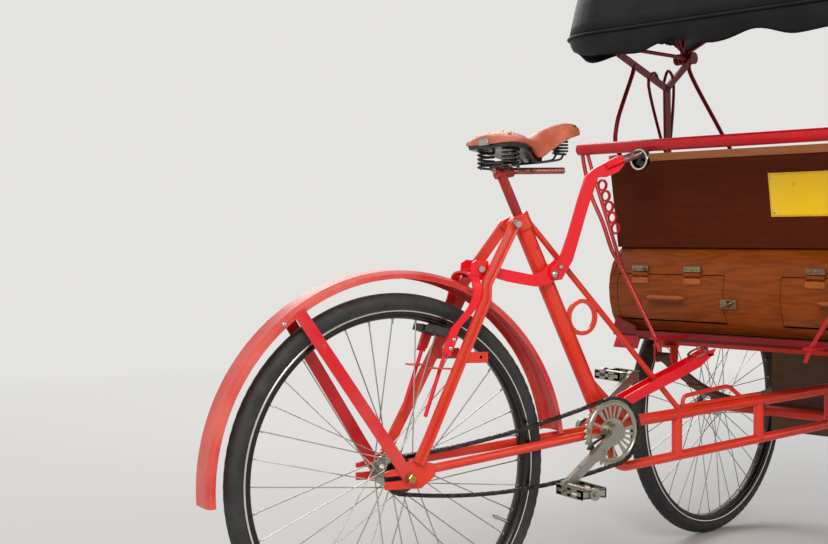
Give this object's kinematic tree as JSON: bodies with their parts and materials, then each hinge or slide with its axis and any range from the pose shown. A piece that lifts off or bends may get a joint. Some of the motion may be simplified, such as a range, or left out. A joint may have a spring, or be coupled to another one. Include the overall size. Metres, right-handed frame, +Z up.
{
  "type": "cycle rickshaw",
  "caption": "Three-wheeled passenger cycle: a rider's frame with one rear wheel pushes a hooded two-wheeled cab that steers on a king pin.",
  "frame": {"origin": "on the ground, under the middle of the whole vehicle's box", "axes": "+X forward along the rider's frame, +Y left, +Z up; the cab is stored steered 13.5 degrees left"},
  "size_m": [2.3749, 1.1902, 1.8255],
  "materials": {
    "orange_paint": "gloss, chipped",
    "crimson_paint": "gloss, chipped",
    "iron_paint": "satin",
    "guard_paint": "worn",
    "steel": "dull",
    "chrome": "worn",
    "rusty_steel": "rusty",
    "tyre": "dusty",
    "pedal_rubber": "worn",
    "saddle_leather": "worn",
    "brown_panel": "painted",
    "trunk_wood": "varnished",
    "pale_wood": "bare",
    "deck_wood": "bare",
    "cushion_vinyl": "gloss",
    "plate": "satin",
    "hood_vinyl": "satin"
  },
  "bodies": {
    "frame": {"seat_tube": "orange_paint", "seat_post": "chrome", "main_tubes": "orange_paint", "brace_tube": "orange_paint", "chain_stays": "orange_paint", "seat_stays": "orange_paint", "rear_axle": "steel", "rear_mudguard": "guard_paint", "mudguard_straps": "guard_paint", "rest_tongue": "crimson_paint", "brake_lever": "crimson_paint", "brake_stirrup": "crimson_paint", "brake_shoes": "pedal_rubber", "saddle_top": "saddle_leather", "saddle_springs": "rusty_steel", "chain": "rusty_steel"},
    "rear_wheel": {"rear_tyre": "tyre", "rear_rim": "rusty_steel", "rear_spokes": "steel", "rear_sprocket": "rusty_steel"},
    "crankset": {"cranks": "chrome", "chainring": "chrome"},
    "right_pedal_body": {"right_pedal": "pedal_rubber"},
    "left_pedal_body": {"left_pedal": "pedal_rubber"},
    "cab": {"front_axle": "orange_paint", "leaf_springs": "rusty_steel", "subframe": "orange_paint", "deck": "deck_wood", "footwell": "deck_wood", "side_panels": "brown_panel", "back_panel": "brown_panel", "top_rail": "pale_wood", "trunk_shell": "trunk_wood", "bottom_rail": "crimson_paint", "seat_cushion": "cushion_vinyl", "back_cushion": "cushion_vinyl", "handlebar": "crimson_paint", "bar_struts": "crimson_paint", "bell": "chrome", "number_plate": "plate", "front_mudguards": "crimson_paint", "hood_stands": "iron_paint", "rear_bow": "iron_paint"},
    "left_wheel": {"left_tyre": "tyre", "left_rim": "rusty_steel", "left_spokes": "steel"},
    "right_wheel": {"right_tyre": "tyre", "right_rim": "rusty_steel", "right_spokes": "steel"},
    "left_door": {"left_trunk_door": "trunk_wood"},
    "right_door": {"right_trunk_door": "trunk_wood"},
    "hood_second": {"second_bow": "iron_paint", "rear_cloth": "hood_vinyl"},
    "hood_third": {"third_bow": "iron_paint", "middle_cloth": "hood_vinyl"},
    "hood_front": {"front_bow": "iron_paint", "front_cloth": "hood_vinyl"}
  },
  "joints": [
    {"name": "rear_wheel_spin", "type": "hinge", "parent": "frame", "child": "rear_wheel", "pos_m": [-0.78545, -0.02785, 0.357], "axis": [0, 1, 0], "continuous": true},
    {"name": "crank_spin", "type": "hinge", "parent": "frame", "child": "crankset", "pos_m": [-0.26745, -0.02785, 0.405], "axis": [0, 1, 0], "continuous": true},
    {"name": "right_pedal_spin", "type": "hinge", "parent": "crankset", "child": "right_pedal_body", "pos_m": [-0.40322, -0.14185, 0.30269], "axis": [0, 1, 0], "continuous": true},
    {"name": "left_pedal_spin", "type": "hinge", "parent": "crankset", "child": "left_pedal_body", "pos_m": [-0.13168, 0.08615, 0.50731], "axis": [0, 1, 0], "continuous": true},
    {"name": "steering", "type": "hinge", "parent": "frame", "child": "cab", "pos_m": [0.51455, -0.02785, 0.411], "axis": [0, 0, 1], "range_deg": [-46.5, 19.5]},
    {"name": "left_wheel_spin", "type": "hinge", "parent": "cab", "child": "left_wheel", "pos_m": [0.50067, 0.45834, 0.357], "axis": [-0.2334, 0.9724, 0], "continuous": true},
    {"name": "right_wheel_spin", "type": "hinge", "parent": "cab", "child": "right_wheel", "pos_m": [0.72291, -0.46735, 0.357], "axis": [-0.2334, 0.9724, 0], "continuous": true},
    {"name": "left_door_swing", "type": "hinge", "parent": "cab", "child": "left_door", "pos_m": [0.02249, 0.08336, 0.736], "axis": [-0.2334, 0.9724, 0], "range_deg": [0, 40]},
    {"name": "right_door_swing", "type": "hinge", "parent": "cab", "child": "right_door", "pos_m": [0.12661, -0.35032, 0.736], "axis": [-0.2334, 0.9724, 0], "range_deg": [0, 40]},
    {"name": "hood_fold", "type": "hinge", "parent": "cab", "child": "hood_second", "pos_m": [0.42218, -0.05003, 1.297], "axis": [0.2334, -0.9724, 0], "range_deg": [0, 45.3], "deforming": ["rear_cloth"]},
    {"name": "hood_third_bow", "type": "hinge", "parent": "hood_second", "child": "hood_third", "pos_m": [0.42218, -0.05003, 1.297], "axis": [0.2334, -0.9724, 0], "range_deg": [0, 45.3], "deforming": ["middle_cloth"]},
    {"name": "hood_front_bow", "type": "hinge", "parent": "hood_third", "child": "hood_front", "pos_m": [0.42218, -0.05003, 1.297], "axis": [0.2334, -0.9724, 0], "range_deg": [0, 45.3], "deforming": ["front_cloth"]}
  ],
  "couplings": [
    {"joint": "hood_third_bow", "follows": "hood_fold", "ratio": 1},
    {"joint": "hood_front_bow", "follows": "hood_fold", "ratio": 1}
  ]
}
